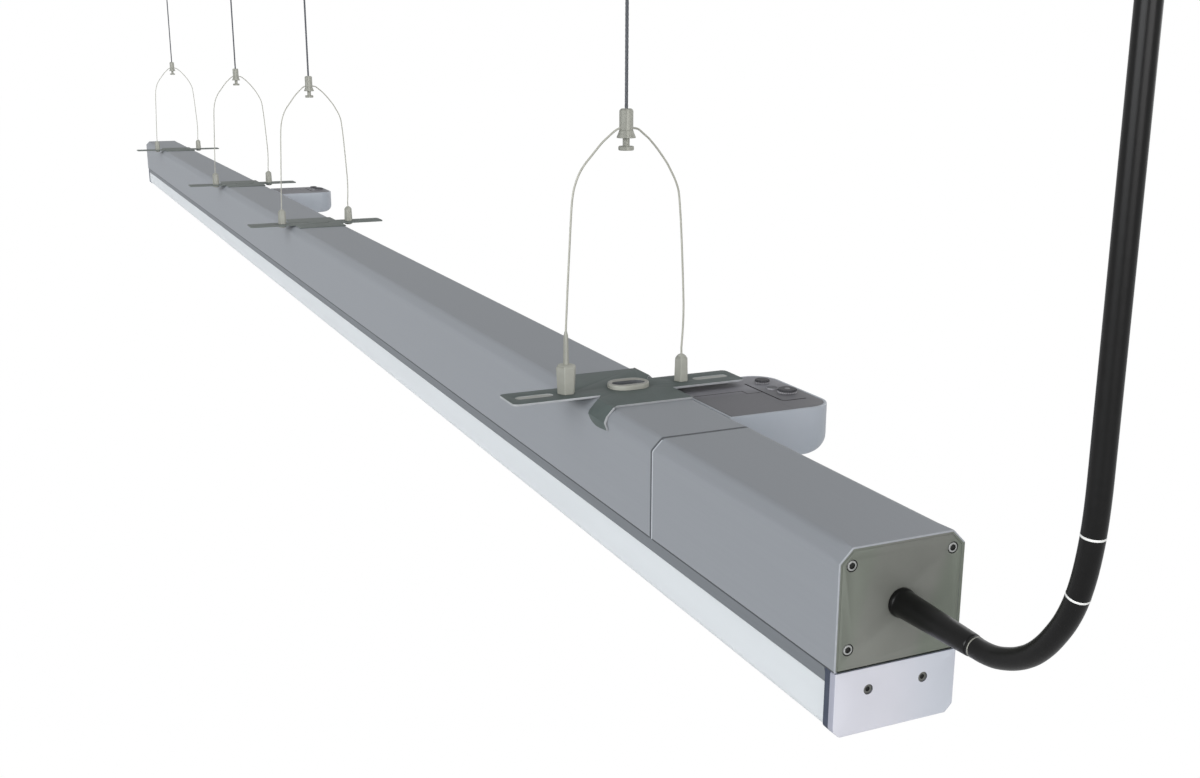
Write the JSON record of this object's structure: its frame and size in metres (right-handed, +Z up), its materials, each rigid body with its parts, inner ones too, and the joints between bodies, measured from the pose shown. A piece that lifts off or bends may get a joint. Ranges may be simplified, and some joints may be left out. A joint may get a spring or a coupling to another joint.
{
  "type": "hanging linear shop light",
  "caption": "Long rope-hung shop light: chamfered aluminium housing in sections over a milky diffuser, wire yokes on clip brackets, side control boxes and a power cable.",
  "frame": {"origin": "on the ceiling plane, above the middle of the housing's length and width", "axes": "+X along the light, towards the end with the power cable; +Y towards the control boxes; +Z up into the ceiling"},
  "size_m": [3.3445, 0.2235, 0.5073],
  "materials": {
    "housing_metal": "satin, drawn along its length",
    "bracket_paint": "smooth grey-green, semi-matt, bright cut edges",
    "plate_paint": "matt olive grey",
    "tray_metal": "dark satin",
    "cap_white": "smooth off-white",
    "diffuser_milky": "milky, slightly glossy, lets light through",
    "fitting_metal": "dull nickel plate",
    "wire_steel": "bright drawn wire",
    "rope_grey": "dark grey coated wire rope",
    "black_rubber": "black with a soft grey sheen",
    "gasket_navy": "dark blue-grey, matt",
    "box_grey": "light grey, satin gloss",
    "cover_grey": "dark grey, fine grain",
    "control_dark": "dark grey with light knurled rims",
    "board_green": "green laminate",
    "board_white": "white laminate with pale yellow chips",
    "inner_white": "plain white",
    "driver_metal": "plain sheet"
  },
  "bodies": {
    "ceiling": {"ceiling_cups": "fitting_metal", "cup_caps": "fitting_metal", "rope_ends": "fitting_metal", "rope_1": "rope_grey", "rope_2": "rope_grey", "rope_3": "rope_grey", "rope_4": "rope_grey", "rose_base": "inner_white", "rose_cover": "inner_white", "rose_grip": "black_rubber", "power_cable": "black_rubber"},
    "luminaire": {"housing_near": "housing_metal", "housing_main": "housing_metal", "joint_seal": "black_rubber", "joint_splices": "housing_metal", "light_tray": "tray_metal", "diffuser": "diffuser_milky", "end_plate_near": "plate_paint", "end_plate_far": "plate_paint", "end_plate_screws": "fitting_metal", "end_cap_near": "cap_white", "end_cap_far": "cap_white", "cap_gaskets": "gasket_navy", "cap_screws": "black_rubber", "light_boards": "board_white", "drivers": "driver_metal", "terminal_block": "inner_white", "strain_relief": "black_rubber", "relief_nut": "black_rubber", "inner_lead": "black_rubber", "bracket_1": "bracket_paint", "bracket_2": "bracket_paint", "bracket_3": "bracket_paint", "bracket_4": "bracket_paint", "bracket_eyelets": "fitting_metal", "front_fittings": "fitting_metal", "rear_fittings": "fitting_metal", "fitting_nuts": "fitting_metal", "wire_yoke_1": "wire_steel", "wire_yoke_2": "wire_steel", "wire_yoke_3": "wire_steel", "wire_yoke_4": "wire_steel", "clamp_barrels": "fitting_metal", "clamp_collars": "fitting_metal", "box_shells": "box_grey", "box_covers": "cover_grey", "box_lids": "cover_grey", "box_boards": "board_green", "box_screws": "fitting_metal"},
    "plunger_1": {"plunger_1": "fitting_metal"},
    "plunger_2": {"plunger_2": "fitting_metal"},
    "plunger_3": {"plunger_3": "fitting_metal"},
    "plunger_4": {"plunger_4": "fitting_metal"},
    "small_dial_1": {"small_dial_1": "control_dark"},
    "small_dial_2": {"small_dial_2": "control_dark"},
    "large_dial_1": {"large_dial_1": "control_dark"},
    "large_dial_2": {"large_dial_2": "control_dark"},
    "button_1": {"button_1": "control_dark"},
    "button_2": {"button_2": "control_dark"}
  },
  "joints": [
    {"name": "height_slide", "type": "slide", "parent": "ceiling", "child": "luminaire", "axis": [0, 0, 1], "range_m": [0, 0.15], "deforming": ["power_cable"]},
    {"name": "release_1", "type": "slide", "parent": "luminaire", "child": "plunger_1", "axis": [0, 0, 1], "range_m": [0, 0.003], "stiffness_N_per_m": 300, "springref_m": -0.003},
    {"name": "release_2", "type": "slide", "parent": "luminaire", "child": "plunger_2", "axis": [0, 0, 1], "range_m": [0, 0.003], "stiffness_N_per_m": 300, "springref_m": -0.003},
    {"name": "release_3", "type": "slide", "parent": "luminaire", "child": "plunger_3", "axis": [0, 0, 1], "range_m": [0, 0.003], "stiffness_N_per_m": 300, "springref_m": -0.003},
    {"name": "release_4", "type": "slide", "parent": "luminaire", "child": "plunger_4", "axis": [0, 0, 1], "range_m": [0, 0.003], "stiffness_N_per_m": 300, "springref_m": -0.003},
    {"name": "small_dial_turn_1", "type": "hinge", "parent": "luminaire", "child": "small_dial_1", "pos_m": [1.25809, 0.112, -0.4045], "axis": [0, 0, 1], "range_deg": [0, 300]},
    {"name": "large_dial_turn_1", "type": "hinge", "parent": "luminaire", "child": "large_dial_1", "pos_m": [1.29039, 0.1144, -0.4045], "axis": [0, 0, 1], "range_deg": [0, 300]},
    {"name": "button_press_1", "type": "slide", "parent": "luminaire", "child": "button_1", "axis": [0, 0, -1], "range_m": [0, 0.001], "stiffness_N_per_m": 400, "springref_m": -0.002},
    {"name": "small_dial_turn_2", "type": "hinge", "parent": "luminaire", "child": "small_dial_2", "pos_m": [-0.30568, 0.112, -0.4045], "axis": [0, 0, 1], "range_deg": [0, 300]},
    {"name": "large_dial_turn_2", "type": "hinge", "parent": "luminaire", "child": "large_dial_2", "pos_m": [-0.27338, 0.1144, -0.4045], "axis": [0, 0, 1], "range_deg": [0, 300]},
    {"name": "button_press_2", "type": "slide", "parent": "luminaire", "child": "button_2", "axis": [0, 0, -1], "range_m": [0, 0.001], "stiffness_N_per_m": 400, "springref_m": -0.002}
  ]
}
